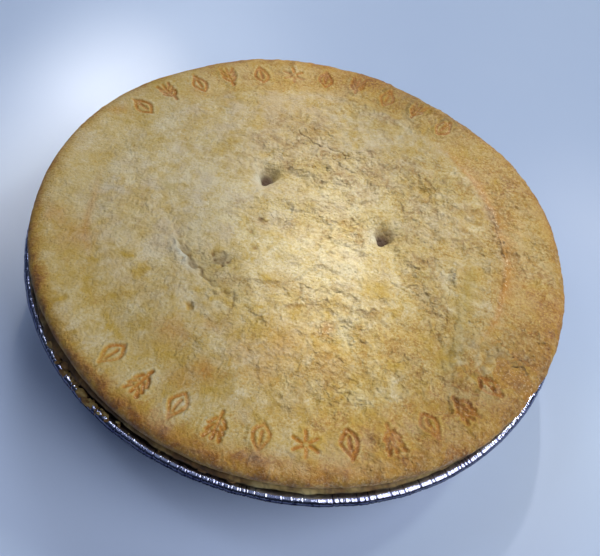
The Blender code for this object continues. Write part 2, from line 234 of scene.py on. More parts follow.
# Torn curls of pastry over the bead: degrees round, radius, height, size, flatness, length, turn.
CURLS = (
    (220.5, 102.4, 33.2, 1.2, 0.6, 1.6, 80), (223.2, 102.9, 33.3, 1.6, 0.7, 1.3, 100),
    (226, 103.2, 33, 1.3, 0.7, 1.5, 60), (228.8, 102.8, 33.2, 1.5, 0.6, 1.3, 110),
    (231.6, 102.4, 32.9, 1, 0.7, 1.8, 85), (262.5, 103.1, 32.9, 0.8, 0.6, 2, 95),
    (268, 103.4, 32.8, 0.7, 0.6, 2.2, 80),
)

# Soft round lights: name, degrees round and up, how far and how wide in metres, watts, colour.
LIGHTS = (
    ("side", -20, 48, 1, 0.9, 6, (0.97, 0.98, 1)),
    ("key", 40, 46, 1.1, 0.14, 1.6, (0.95, 1, 0.8)),
    ("window", 108, 38, 0.9, 0.3, 1.9, (0.82, 0.9, 1)),
    ("room", 262, 68, 1.1, 1.1, 0.75, (0.66, 0.76, 1)),
    ("glint", 176, 61, 1, 0.2, 0.55, (0.86, 0.92, 1)),
)
# Brighter pools of light: name, middle in mm, radius in mm, softness, watts, colour.
POOLS = (
    ("middle_pool", (12, -9, 44), 36, 1, 84, (0.98, 1, 0.92)),
    ("near_pool", (18, -52, 44), 26, 0.6, 24, (1, 0.95, 0.8)),
    ("lower_pool", (34, -75, 44), 22, 0.8, 20, (1, 0.93, 0.8)),
    ("right_pool", (52, 24, 44), 40, 1, 9, (1, 0.88, 0.78)),
    ("left_pool", (-62, 60, 44), 40, 1, 2, (1, 0.85, 0.7)),
    ("far_pool", (-18, 76, 44), 38, 1, 34, (1, 0.85, 0.7)),
    ("far_right_pool", (65, 56, 44), 38, 1, 21, (0.84, 0.9, 1)),
    ("edge_pool", (87, 8, 42), 26, 1, 38, (1, 0.9, 0.8)),
    ("west_pool", (-62, 6, 44), 42, 1, 7, (1, 0.95, 0.9)),
    ("floor_far_pool", (-120, 88, 0), 42, 1, 44, (1, 0.9, 0.75)),
    ("floor_left_pool", (-140, 40, 0), 42, 1, 24, (1, 0.88, 0.7)),
    ("floor_west_pool", (-125, -2, 0), 32, 1, 36, (1, 0.85, 0.6)),
    ("floor_near_pool", (108, -122, 0), 36, 1, 13, (1, 0.85, 0.75)),
    ("floor_right_pool", (136, 82, 0), 38, 1, 16, (1, 0.8, 0.6)),
)
# The pools' lamps, from the far side: degrees round and up, metres away; a lamp's radius.
POOL_AIM = (98, 43, 1.3)
POOL_LAMP = 0.03
WORLD_COLOUR = (0.26, 0.35, 0.56, 1)
WORLD_STRENGTH = 0.08
FLOOR_SIZE = 2.2  # metres, from its middle to a side
FLOOR_DROP = 0.05

# How far the lid's and the case's pastry has baked, 0 to 1, and its colour there.
LID_STOPS = (
    (0, 230, 214, 176), (0.22, 219, 197, 144), (0.42, 209, 176, 98), (0.62, 188, 136, 58),
    (0.82, 144, 89, 41), (1, 84, 48, 26),
)
CASE_STOPS = ((0, 206, 188, 134), (0.35, 170, 144, 86), (0.6, 128, 94, 48), (1, 60, 36, 20))

SEED_STEP = 37.7  # how far apart two seeds read the same noise


# ---- noise and masks


def scaled(places, size, seed):
    """Places of 2 or 3 columns as points of a noise whose cells are size across."""
    places = np.asarray(places, float)
    if places.shape[1] == 2:
        places = np.column_stack([places, np.zeros(len(places))])
    return (places / size + SEED_STEP * seed).tolist()


def lumps(places, size, seed=0, octaves=1):
    """Smooth noise, about -0.7 to 0.7; its lumps are size across."""
    total = np.zeros(len(places))
    for octave in range(octaves):
        points = scaled(places, size / 2**octave, seed + 0.13 * octave)
        total += np.array([noise.noise(point) for point in points]) / 2**octave
    return total


def warped(places, size, reach, seed=0):
    """The places moved about by up to about reach, so that lines drawn from them wander."""
    moved = np.array(places, float)
    for axis in range(moved.shape[1]):
        moved[:, axis] += reach * lumps(places, size, seed + 11 * axis)
    return moved


def bell(value, width):
    """1 where the value is 0, and near 0 past twice the width."""
    return np.exp(-((value / width) ** 2))


def creases(places, cell, width, seed=0):
    """A net of lines between cells: 1 on a line and 0 further off than about twice width."""
    nearest = [noise.voronoi(point)[0] for point in scaled(places, cell, seed)]
    return bell(0.5 * np.array([near[1] - near[0] for near in nearest]) * cell, width)


def slabs(places, size, seed=0):
    """Ragged plates about size across, each at its own height of 0 to 1."""
    cells = [noise.voronoi(point)[1][0] for point in scaled(places, size, seed)]
    return np.array([math.sin(12.99 * x + 78.2 * y + 37.7 * z) * 437.5 % 1 for x, y, z in cells])


def smooth(value, low, high):
    """0 below low, 1 above high, and a smooth rise between them."""
    share = np.clip((value - low) / (high - low), 0, 1)
    return share * share * (3 - 2 * share)


def turned(places, middle, length, degrees):
    """Places about a middle as the X and Y of a turned form that is longer along its Y."""
    across = places[:, :2] - np.array(middle)
    cos, sin = math.cos(math.radians(degrees)), math.sin(math.radians(degrees))
    x = across[:, 0] * cos + across[:, 1] * sin
    return x, (across[:, 1] * cos - across[:, 0] * sin) / length


def spot(places, middle, radius, length=1, degrees=0):
    """A soft spot, 1 at its middle and near 0 at twice its radius; longer along its turned Y."""
    x, y = turned(places, middle, length, degrees)
    return np.exp(-(x**2 + y**2) / radius**2)


def spots(places, table):
    """A table's soft spots together; each row is x, y, radius, how much, and perhaps its shape."""
    return sum(amount * spot(places, (x, y), size, *shape) for x, y, size, amount, *shape in table)


def line_distance(places, line):
    """How far each place is from a line of points, and on which side: left of it is positive."""
    line = [np.array(point, float) for point in line]
    nearest = np.full(len(places), np.inf)
    side = np.zeros(len(places))
    for start, end in zip(line, line[1:]):
        run = end - start
        offset = places[:, :2] - start
        along = np.clip(offset @ run / (run @ run), 0, 1)
        away = offset - along[:, None] * run
        distance = np.hypot(away[:, 0], away[:, 1])
        closer = distance < nearest
        left_of = run[0] * offset[:, 1] - run[1] * offset[:, 0]
        side[closer] = np.sign(left_of[closer])
        nearest[closer] = distance[closer]
    return nearest, side


def sector(angle, middle, width):
    """A soft mask round the pie: 1 at the middle's degrees, near 0 at twice its width."""
    return bell((np.degrees(angle) - middle + 180) % 360 - 180, width)


# ---- meshes


def to_polar(places):
    return np.hypot(places[:, 0], places[:, 1]), np.arctan2(places[:, 1], places[:, 0])


def from_polar(radius, angle, height):
    """Points from angles; the radius and the height may be one number for all of them."""
    return np.column_stack([radius * np.cos(angle), radius * np.sin(angle), height + 0 * angle])


def even_angles(count):
    return ROUND * np.arange(count) / count


def bridge(first, second, turns=(0, 0)):
    """Triangles between two closed rings of vertex numbers, which may differ in count.

    turns are how far round each ring's first point is, as a share of a whole turn.
    """
    faces = []
    i, j = 0, 0
    ends = (len(first) if len(first) > 1 else 0, len(second) if len(second) > 1 else 0)
    while i < ends[0] or j < ends[1]:
        a, b = first[i % len(first)], second[j % len(second)]
        if j == ends[1] or (
            i < ends[0] and (i + 1) / ends[0] + turns[0] <= (j + 1) / ends[1] + turns[1]
        ):
            i += 1
            faces.append((a, first[i % len(first)], b))
        else:
            j += 1
            faces.append((a, second[j % len(second)], b))
    return faces


def stacked(rings, last=(), turn=0, start=0):
    """The points of rings that follow each other, or a last ring, and the faces between them."""
    faces = []
    for ring in rings:
        numbers = list(range(start, start + len(ring)))
        faces += bridge(last, numbers, (turn, 0)) if last else []
        last, turn = numbers, 0
        start += len(ring)
    return np.vstack(rings), faces


def steps_between(start, end, spacing):
    """Even steps of about spacing from start, without it, to end."""
    count = round((end - start) / spacing)
    return [start + (end - start) * (step + 1) / count for step in range(count)]


def disc(radii):
    """The lid laid out flat, a ring for each radius: its places, its faces, its last ring."""
    places, faces = [(0, 0)], []
    last, last_turn = [0], 0
    for number, radius in enumerate(radii):
        spacing = TOP_SPACING if radius < BAND_OUTER else EDGE_RING_SPACING
        count = max(6, round(ROUND * radius / spacing))
        turn = 0.5 * (number % 2) / count
        ring = list(range(len(places), len(places) + count))
        for n in range(count):
            angle = ROUND * (n / count + turn)
            places.append((radius * math.cos(angle), radius * math.sin(angle)))
        faces += bridge(last, ring, (last_turn, turn))
        last, last_turn = ring, turn
    return np.array(places), faces, (last, last_turn)


def refine(places, faces, chosen):
    """Halves every edge of the chosen faces, and splits their neighbours to match."""
    halves = {}
    places = places.tolist()

    def key(a, b):
        return (a, b) if a < b else (b, a)

    for face in (face for face, pick in zip(faces, chosen) if pick):
        for a, b in zip(face, face[1:] + face[:1]):
            if key(a, b) not in halves:
                halves[key(a, b)] = len(places)
                places.append([0.5 * (u + v) for u, v in zip(places[a], places[b])])
    made = []
    for a, b, c in faces:
        ab, bc, ca = halves.get(key(a, b)), halves.get(key(b, c)), halves.get(key(c, a))
        split = sum(half is not None for half in (ab, bc, ca))
        if split == 3:
            made += [(a, ab, ca), (ab, b, bc), (ca, bc, c), (ab, bc, ca)]
            continue
        while split and (ab is None or (split == 2 and bc is None)):
            a, b, c, ab, bc, ca = b, c, a, bc, ca, ab
        if split == 2:
            made += [(ab, b, bc), (a, ab, bc), (a, bc, c)]
        elif split == 1:
            made += [(a, ab, c), (ab, b, c)]
        else:
            made.append((a, b, c))
    return np.array(places), made


def placed(name, data):
    """A new object, in the scene."""
    thing = bpy.data.objects.new(name, data)
    bpy.context.scene.collection.objects.link(thing)
    return thing


def add_piece(name, points, faces, material, replaced, masks):
    """One smooth piece from points in mm, with a float attribute for each mask."""
    mesh = bpy.data.meshes.new(name)
    mesh.from_pydata((np.asarray(points) * MM).tolist(), [], faces)
    mesh.update()
    mesh.shade_smooth()
    for mask, values in masks.items():
        layer = mesh.attributes.new(mask, "FLOAT", "POINT")
        layer.data.foreach_set("value", np.clip(values, 0, 1).astype(np.float32))
    mesh.materials.append(material)
    piece = placed(name, mesh)
    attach(piece, "root")
    if replaced:
        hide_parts(replaced)


# ---- the stamped ornament: lines in (sideways, outwards) shares of its height


def leaf_lines():
    """A leaf: its outline and a rib."""
    half = 0.5 * LEAF_WIDTH / STAMP_HEIGHT
    shares = [step / LEAF_SPANS for step in range(LEAF_SPANS + 1)]
    side = [(half * math.sin(math.pi * t**0.8) ** 1.4, t - 0.5) for t in shares]
    outline = side + [(-u, v) for u, v in side[-2:0:-1]]
    return [outline + outline[:1], [(0, -0.24), (0, 0.24)]]


def ear_lines():
    """An ear of wheat: a stem and pairs of barbs that lean outwards from it."""
    lines = [[(0, -0.5), (0, 0.5)]]
    for pair in range(EAR_BARBS):
        foot = -0.22 + 0.24 * pair
        for side in (-1, 1):
            lines.append([(side * x, foot + y) for x, y in ((0.11, 0), (0.2, 0.12), (0.27, 0.26))])
    return lines


def rosette_lines():
    """A rosette: short petals round an empty middle."""
    turns = [ROUND * (petal + 0.5) / ROSETTE_PETALS for petal in range(ROSETTE_PETALS)]
    return [[(r * math.cos(turn), r * math.sin(turn)) for r in (0.14, 0.46)] for turn in turns]


def stroke_distance(places):
    """How far each place on the lid is from the nearest stamped line, in mm."""
    nearest = np.full(len(places), np.inf)
    middle_stamp = STAMPS_IN_RUN // 2
    for middle in STAMP_RUNS:
        for number in range(STAMPS_IN_RUN):
            angle = math.radians(middle + (number - middle_stamp) * STAMP_STEP)
            out = np.array((math.cos(angle), math.sin(angle)))
            side = np.array((-out[1], out[0]))
            local = np.column_stack([places @ side, places @ out - STAMP_RADIUS])
            close = np.flatnonzero(np.abs(local).max(axis=1) < 0.5 * STAMP_HEIGHT + 3)
            stamp = ear_lines() if number % 2 else leaf_lines()
            for line in rosette_lines() if number == middle_stamp else stamp:
                distance, _ = line_distance(local[close], np.array(line) * STAMP_HEIGHT)
                nearest[close] = np.minimum(nearest[close], distance)
    return nearest


# ---- the lid


def joint_height(radius):
    return JOINT_EDGE + JOINT_RISE * (1 - np.minimum(1, radius / LID_RADIUS) ** 2)


def lid_height(places):
    """The lid's plain top, the same as the solids have."""
    radius, angle = to_polar(places)
    dome = DOME_RISE * np.maximum(0, 1 - (radius / BAND_INNER) ** 2)
    soft = STEP_SOFT + (STEP_SHARP - STEP_SOFT) * sector(angle, 12, 34)
    height = BAND_HEIGHT + dome + BAND_STEP * smooth((BAND_INNER - radius) / soft, -1, 1)
    height += LUMP_HEIGHT * lumps(places, LUMP_SIZE)
    height -= SLUMP_DEPTH * spot(places, SLUMP, SLUMP_RADIUS)
    height -= FURROW_DEPTH * bell(line_distance(places, FURROW)[0], FURROW_WIDTH)
    height -= CLOSED_VENT_DEPTH * spot(places, CLOSED_VENT, VENT_DIP_WIDTH)
    for vent in VENTS:
        height -= VENT_DIP * spot(places, vent, VENT_DIP_WIDTH)
    return height


def vent_share(places, hole):
    """How far out from a vent each place is, and how far it is on the vent's far side, -1 to 1."""
    x, y = turned(places, hole, VENT_LENGTH, VENT_TURN)
    out = np.hypot(x, y)
    return out, y / np.maximum(out, 1e-6)


def open_vents(places):
    """Draws points in towards each vent's wall, and gives how deep each then lies."""
    even, near, far, deep = np.transpose(VENT_PROFILE)
    depth = np.zeros(len(places))
    places = places.copy()
    for hole in HOLES:
        out, side = vent_share(places, hole)
        close = out < even[-1]
        out = out[close]
        slope = smooth(side[close], -0.3, 0.9)
        moved = np.interp(out, even, near) * (1 - slope) + np.interp(out, even, far) * slope
        depth[close] = np.interp(out, even, deep)
        ratio = moved / np.maximum(out, 1e-6)
        places[close] = hole + (places[close] - hole) * ratio[:, None]
    return places, depth


def add_lid(material):
    overhang = LID_RADIUS - BAND_OUTER
    shoulder = 0.5 * math.pi * 0.5 * (overhang + BAND_HEIGHT - LID_WIDEST)
    tuck = LID_WIDEST - JOINT_EDGE + 0.5

    # Even rings over the top, the shoulder and the tuck, all laid out flat.
    radii = steps_between(0, BAND_OUTER, TOP_SPACING)
    radii += steps_between(BAND_OUTER, BAND_OUTER + shoulder + tuck, EDGE_SPACING)
    flat, faces, (rim, rim_turn) = disc(radii)

    # Finer where lines are stamped, and round the vents, the fold and the pits.
    centre = flat[np.array(faces)].mean(axis=1)
    wanted = stroke_distance(centre) < 1.5
    wanted |= line_distance(centre, FOLD)[0] < 4
    wanted |= line_distance(centre, HAIRLINE)[0] < 1.6
    for hole in HOLES:
        wanted |= vent_share(centre, hole)[0] < 6.5
    for pit in (CLOSED_VENT, BROWN_PIT):
        wanted |= spot(centre, pit, 5) > 0.4
    flat, faces = refine(flat, faces, wanted)

    # The form of the solids.
    arc, angle = to_polar(flat)
    outwards = np.column_stack([np.cos(angle), np.sin(angle)])
    turn = 0.5 * math.pi * np.clip((arc - BAND_OUTER) / shoulder, 0, 1)
    under = 0.5 * math.pi * np.clip((arc - BAND_OUTER - shoulder) / tuck, 0, 1)
    places, vent_depth = open_vents(np.minimum(arc, BAND_OUTER)[:, None] * outwards)
    on_top = arc < BAND_OUTER
    edge = BAND_OUTER + np.sin(turn) * (
        overhang + sum(size * sector(angle, middle, width) for middle, width, size in BULGES)
    )
    radius = np.where(on_top, to_polar(places)[0], edge) - EDGE_TUCK * (1 - np.cos(under))
    height = LID_WIDEST + (lid_height(places) - LID_WIDEST) * np.cos(turn)
    height -= (LID_WIDEST - joint_height(radius)) * np.sin(under)
    xy = np.where(on_top[:, None], places, radius[:, None] * outwards)
    points = np.column_stack([xy, height])
    lean = turn + 0.35 * under
    normal = np.column_stack([outwards * np.sin(lean)[:, None], np.cos(lean)])

    relief, masks = lid_relief(points, arc, angle, turn, under, vent_depth)
    points = points + normal * relief[:, None]
    points[:, 2] -= vent_depth

    # The underside, plain, as it lies on the filling.
    rings = []
    for halvings, share in enumerate(UNDERSIDE, 1):
        reach = (LID_RADIUS - EDGE_TUCK) * share
        circle = even_angles(len(rim) >> halvings if share else 1)
        rings.append(from_polar(reach, circle, joint_height(reach)))
    extra, more_faces = stacked(rings, rim, rim_turn, len(points))
    faces += more_faces
    points = np.vstack([points, extra])
    points[:, :2] += PIE_CENTRE
    masks = {name: np.append(values, np.zeros(len(extra))) for name, values in masks.items()}
    add_piece("lid", points, faces, material, "pastry_lid", masks)


def lid_relief(xyz, arc, angle, turn, under, vent_depth):
    """What stands out of the plain form, in mm along its normal, and the masks for the crust."""
    xy = xyz[:, :2]
    top = np.cos(turn)
    dome = smooth(BAND_INNER - arc, -1, 3)
    band = 1 - dome
    right = smooth(xy[:, 0] + 0.3 * xy[:, 1], -55, 25)

    # Crackle: lumps, pillows and creases that come and go, and flakes with a stepped edge.
    patchy = smooth(lumps(xy, 26, 3), -0.35, 0.25)
    wide = creases(warped(xyz, 6, 3.6, 5), 9.5, 0.7, 1)
    narrow = creases(warped(xyz, 3, 2, 6), 4.6, 0.45, 2)
    crackle = (0.4 + 0.6 * right) * (0.4 + 0.6 * patchy)
    crackle *= 0.45 + 0.55 * np.maximum(dome, sector(angle, 20, 60))
    broken = smooth(lumps(xyz, 3.1, 7), -0.3, 0.15)
    flake = smooth(lumps(xyz, 4.2, 8, 3), 0.04, 0.14) * smooth(lumps(xy, 15, 9), -0.3, 0.1)
    plates = slabs(warped(warped(xy, 7, 5, 15), 2.6, 1.8, 14), 8, 16)
    plates = 4 * plates * smooth(lumps(xy, 14, 10), -0.45, 0) - 2
    relief = (0.2 + 0.34 * right) * lumps(xyz, 9, 20) * (0.35 + 0.65 * top)
    relief += (0.12 * lumps(xyz, 3.8, 21) + 0.1 * lumps(xyz, 1.9, 22)) * top
    pillows = np.abs(lumps(warped(xy, 5, 1.5, 25), 7, 23)) - 0.2
    pillows += 0.55 * (np.abs(lumps(warped(xy, 2.4, 0.7, 26), 3, 24)) - 0.2)
    relief += 1.3 * pillows * (0.12 + 0.88 * right) * (0.5 + 0.5 * patchy) * top
    cobbles = creases(warped(xyz, 9, 5, 17), 14, 1, 18) * smooth(lumps(xyz, 8, 19), -0.4, 0.2)
    relief -= 0.42 * cobbles * (0.15 + 0.85 * right) * top
    relief -= crackle * (0.26 * wide * broken + 0.06 * narrow)
    relief += 0.2 * flake * (0.4 + 0.6 * right)
    relief += 0.16 * plates * (0.25 + 0.75 * right) * (0.4 + 0.6 * dome) * top
    relief *= np.clip(1 - vent_depth, 0, 1)

    # The stamped lines, pressed unevenly, with a low lip beside them.
    away = stroke_distance(warped(xy, 4, 0.35, 13))
    pressed = np.clip(0.72 + 0.6 * lumps(xy, 14, 12), 0.4, 1) * top
    stroke = 1 - smooth(away, 0.25, 0.5 * STROKE_WIDTH + 0.2)
    lip = bell(away - 1.4, 0.5)
    calm = 1 - 0.85 * (1 - smooth(away, 1, 3.2)) * top
    inked = (1 - smooth(away, 0.2, 0.8)) * pressed
    inked *= 0.6 + 0.4 * smooth(lumps(xy, 12, 63), -0.5, 0)
    relief += pressed * (0.16 * lip - STROKE_DEPTH * stroke)

    # The fold: a crack with a raised, flaky lip outside it and a hollow inside it.
    away, side = line_distance(warped(xy, 3, 1.6, 30), FOLD)
    ends = spot(xy, FOLD[2], 13, 1.3, 48)
    fold_crack = bell(away, 0.5 * FOLD_WIDTH) * ends
    fold_lip = bell(away - 2.2, 1.9) * (side < 0) * spot(xy, (-40.2, -26), 5.4, 1.25, 35)
    fold_hollow = bell(away - 3, 3.4) * (side >= 0) * ends
    relief += 1.5 * fold_lip * (0.4 + 0.6 * broken)
    relief -= 1.6 * FOLD_DEPTH * fold_crack + fold_hollow

    # The furrow's ridge, and the seams.
    furrow = bell(line_distance(xy, CHANNEL)[0], 3.6)
    away, side = line_distance(warped(xy, 3, 1, 37), RIDGE)
    relief += 0.7 * np.exp(-away / np.where(side < 0, 3.5, 0.7))
    seams = np.zeros(len(xy))
    ragged = warped(warped(xy, 2.4, 1.6, 35), 6, 2, 36)
    for seam in SEAMS:
        away, side = line_distance(ragged, seam)
        relief += 0.5 * np.exp(-away / 3) * (side > 0)
        seams = np.maximum(seams, bell(away, 0.55))
    relief -= 0.4 * seams

    # The closed vent's hollow, grey with painted shade, and the hairline crack.
    ragged = warped(warped(xy, 4, 2, 39), 1.6, 1, 45)
    crater = smooth(spot(ragged, (-28, -24.6), 3.2, 1.25, -60), 0.2, 0.9)
    away, _ = line_distance(warped(xy, 2.2, 1.3, 31), HAIRLINE_PATH)
    hairline = bell(away, 0.4 * HAIRLINE_WIDTH) * smooth(lumps(xy, 5, 34), -0.5, -0.1)
    relief -= 0.9 * crater + HAIRLINE_DEPTH * hairline

    # Pits: the brown one, and ragged ones.
    pit = smooth(spot(warped(xy, 2, 0.9, 32), BROWN_PIT, 1.6, 1.5, 25), 0.25, 0.9)
    relief -= PIT_DEPTH * pit
    specks = np.zeros(len(xy))
    ragged = warped(xy, 1.6, 0.6, 33)
    for x, y, size, deep in CRUST_PITS:
        hole = spot(ragged, (x, y), size)
        relief -= deep * hole
        specks = np.maximum(specks, smooth(hole, 0.25, 0.8))

    # Where the glazed skin has torn at the near right: a ragged step down to smooth brown crust.
    ragged = warped(warped(xy, 7, 3.5, 43), 2.2, 1.3, 44)
    torn = smooth(spot(ragged, TORN_PATCH, 5, 2, 62), 0.3, 0.42)
    for tear in TEARS:
        away, side = line_distance(ragged, tear)
        near = bell(away, 2.2)
        torn = np.maximum(torn, smooth(near, 0.2, 0.6) * (side < 0))
        relief += 0.35 * near * (side > 0)
    crumbly = smooth(spot(xy, (71, -44), 13, 1.35, -25), 0.25, 0.7) * (1 - torn)
    gaps = creases(warped(xyz, 4, 2.6, 40), 5.2, 0.5, 41) * crumbly
    raised = smooth(lumps(xyz, 4.4, 42, 2), 0, 0.12) * crumbly
    relief += 0.4 * raised - 0.45 * gaps - 0.55 * torn

    # The shoulder and the edge: soft lumps and small nicks.
    edge = smooth(arc, BAND_OUTER - 1, BAND_OUTER + 4)
    relief += edge * (0.2 * lumps(xyz, 9, 50) + (0.09 + 0.1 * top) * lumps(xyz, 2.6, 51, 2))
    relief *= 1 - smooth(under, 1.2, 1.57)

    # Masks for the crust's colour: how far it has baked first, then tints, among them painted shade
    # and painted highlights.
    rim = smooth(arc, 95, 105)
    left = sector(angle, 195, 60)
    near_rim = bell(arc - 100, 3.4) * sector(angle, 272, 36)
    near_band = band * (1 - rim) * sector(angle, 275, 44)
    bake = 0.15 + 0.1 * lumps(xy, 30, 60) + 0.14 * lumps(xy, 11, 61, 2)
    bake += 0.12 * smooth(arc, 25, 60) * (1 - 0.7 * left) + 0.04 * right
    bake += 0.14 * band * (1 - 0.6 * left) - 0.07 * near_band
    bake += rim * (0.2 + (0.34 + 0.3 * sector(angle, 262, 40)) * lumps(xyz, 6, 62, 3))
    bake += 0.24 * smooth(arc, 101, 107) * (1 - sector(angle, 300, 36))
    bake += near_rim * 0.38 * smooth(lumps(xyz, 7, 58, 2), 0, 0.4)
    for amount, start, end, middle, width in BAKED_ARCS:
        bake += amount * smooth(arc, start, end) * sector(angle, middle, width)
    bake += spots(warped(xy, 6, 3, 64), BAKED_SPOTS)
    bake += 0.26 * stroke * pressed + 0.26 * inked - 0.1 * lip * pressed
    bake += 0.25 * hairline + 0.5 * pit + 0.16 * torn * (1 - stroke)
    # The fold's lip is paler as painted light; flakes and raised crumbs are paler crust.
    bake -= 0.2 * fold_lip + 0.16 * flake * dome + 0.12 * raised

    # The line of the pressed ring.
    ring = arc + 1.3 * lumps(xy, 16, 53) + 0.5 * lumps(xy, 3, 54)
    right_ring = bell(ring - 79, 1) * sector(angle, 13, 27)
    left_ring = bell(ring - 83, 1.3) * sector(angle, 192, 12)
    glow = bell(ring - 79.6, 2.8) * sector(angle, 15, 28)
    bake += 0.1 * right_ring
    relief -= 0.2 * right_ring

    amber = 2.2 * right_ring + 0.8 * glow + 0.6 * left_ring + 0.5 * near_rim + 0.4 * rim
    amber += 0.5 * stroke * pressed + inked + 0.5 * specks + 0.12 * right * band + 0.3 * torn
    amber += spots(warped(xy, 4, 3, 57), AMBER_SPOTS)
    # Olive tints: greasy spots and patches, and painted olive shade in the fold's hollow and round
    # the vents.
    olive_grease_and_shade = 0.6 * fold_hollow + 0.3 * smooth(lumps(xy, 24, 65), 0.1, 0.5) + 0.8 * furrow
    olive_grease_and_shade += 0.6 * smooth(arc, 104, 108) * sector(angle, 282, 16) + 0.6 * specks
    olive_grease_and_shade += spots(warped(xy, 4, 2, 66), OLIVE_SPOTS)
    pale = 0.22 * flake * dome + 0.35 * raised + spots(warped(xy, 3, 1.8, 68), PALE_SPOTS)
    # Painted shade: darker down each vent's pit to the filling's dark brown at its bottom, and in the
    # pits, the hairline crack, the gaps, the seams and the fold's crack.
    painted_shade = 0.3 * smooth(vent_depth, 0.9, 2.4) + 0.66 * smooth(vent_depth, 2.4, 3.9)
    painted_shade += 0.4 * specks + 0.7 * hairline + 0.3 * gaps + 0.25 * seams
    painted_shade += 0.5 * fold_crack * smooth(lumps(xy, 5, 38), -0.2, 0.3)
    gloss = smooth(lumps(xyz, 5, 69), 0, 0.35) * (0.25 + 0.75 * right) + 0.4 * stroke
    gloss += 0.4 * right_ring + 0.4 * rim + torn + spot(xy, (14.4, -45.5), 4)
    # Painted shade, grey olive, in the closed vent's hollow and the fold's hollow.
    painted_hollow_shade = crater + 0.45 * fold_hollow * smooth(lumps(xy, 3, 46), -0.5, 0.1)
    # Painted highlights on the fold's raised lip; the vents' left walls get theirs below.
    white = 1.4 * fold_lip * smooth(lumps(xyz, 2.6, 67), -0.5, -0.1)
    # Painted highlights: bright flecks along the pressed ring, the stamped lines, the rim, the torn
    # patch and a glossy spot.
    glint = 1.6 * right_ring + 0.3 * left_ring + 0.6 * inked + 0.4 * torn
    glint += 0.4 * rim * sector(angle, 300, 60) + 0.3 * band * sector(angle, 48, 22)
    glint += 1.3 * spot(xy, (14.6, -45), 3)
    # Painted light and shade round each vent: paler crust and a painted highlight on its left wall,
    # painted olive shade on its far right side.
    for x, y in VENTS:
        bake -= 0.12 * spot(xy, (x - 3.5, y), 4)
        olive_grease_and_shade += 0.9 * spot(xy, (x + 2, y + 2.5), 5)
        white += 0.7 * spot(xy, (x - 3.9, y - 1.6), 2.6, 1.4)
    crackle *= calm * (1 - 0.7 * torn) * (1 - 0.7 * furrow) * (1 - 0.7 * right_ring)
    near = smooth(-xy[:, 1], 0, 50)
    cream = (0.4 + 0.25 * left) * (1 - rim) * (0.4 + 0.6 * dome) * (1 - 0.7 * near)
    cream = cream * (1 - 0.9 * spot(xy, (68, -28), 17)) + 0.24 * near_band
    smears = smooth(lumps(warped(xy, 8, 5, 55), 8, 56, 3), 0.12, 0.45)
    gold = 0.45 + 0.5 * near + 0.3 * smears
    left = left * smooth(arc, 20, 60) * (1 - rim)
    masks = dict(bake=bake, amber=amber, olive_grease_and_shade=olive_grease_and_shade, pale=pale, painted_shade=painted_shade, gloss=gloss, painted_hollow_shade=painted_hollow_shade)
    masks.update(white=white, glint=glint, crackle=crackle, cream=cream, gold=gold, left=left)
    return relief, masks


# ---- the case


def add_case(material):
    """The case, plain where the foil hides it, and rough where its torn ledge shows."""
    inset = FOIL + GAP
    neck = DISH_HEIGHT - BEAD_RADIUS
    corner = corner_arc((-GAP, -0.5 * (GAP + CASE_CLEARANCE), -CASE_CLEARANCE))
    profile = [(0, PANEL_RISE + inset, 1), (PANEL_RADIUS, PANEL_RISE + inset, 80)]
    profile += [(PANEL_RADIUS + PANEL_STEP, inset, 80)]
    profile += [(radius, height, 80) for radius, height in corner]
    foot = corner[-1][1]
    for share, count in ((0.5, 80), (0.8, 240), (0.93, 480), (1, LEDGE_COLUMNS)):
        height = foot + (neck - foot) * share
        profile.append((wall_radius(height) - CASE_CLEARANCE, height, count))
    ledge = (
        (LEDGE_UNDERCUT + 0.3, neck + 1.4),
        (LEDGE_UNDERCUT, LEDGE_BOTTOM),
        (0.3, LEDGE_BOTTOM + 0.5),
        (0, 0.5 * (LEDGE_BOTTOM + JOINT_EDGE)),
        (0.4, JOINT_EDGE - 0.9),
        (LEDGE_BEVEL, JOINT_EDGE - GAP),
        (2.4, JOINT_EDGE - GAP),
    )
    profile += [(LEDGE_RADIUS - back, height, LEDGE_COLUMNS) for back, height in ledge]
    for share, count in ((0.9, 320), (0.6, 80), (0.3, 40), (0, 1)):
        reach = share * LID_RADIUS
        profile.append((reach, joint_height(reach) - GAP, count))
    rings = [from_polar(radius, even_angles(count), height) for radius, height, count in profile]
    points, faces = stacked(rings)
    radius, angle = to_polar(points)
    rough = smooth(points[:, 2], neck - 0.5, LEDGE_BOTTOM) * smooth(radius, 97, 100.5)
    torn = sector(angle, 222, 7) + 0.6 * sector(angle, 262, 10)
    push = 0.55 * lumps(points, 5, 70) + 0.4 * lumps(points, 1.8, 71, 2) * (0.5 + torn)
    push += 1.1 * sector(angle, 292, 34) - 0.5 * sector(angle, 244, 8)
    push += 0.7 * sector(angle, 221, 5)
    points = from_polar(radius + push * rough, angle, points[:, 2])
    lowered = 0.35 * np.abs(lumps(points, 2.4, 72, 2))
    points[:, 2] -= lowered * rough * (points[:, 2] > LEDGE_BOTTOM)
    bake = 0.22 + 0.3 * lumps(points, 7, 73, 2) + 0.5 * sector(angle, 262, 7)
    # The terms at 222 and 240 degrees are painted shade on the near-left ledge under the lid's edge.
    bake += 0.4 * sector(angle, 222, 14) + 0.24 * sector(angle, 296, 30)
    bake += 0.4 * sector(angle, 240, 12)
    # Painted shade in a net of creases over the torn ledge.
    painted_shade = smooth(creases(points, 3, 0.4, 74), 0.5, 1) * 0.4 * rough
    masks = {"bake": bake, "painted_shade": painted_shade}
    add_piece("case", points, faces, material, "pastry_case", masks)


# ---- crumbs


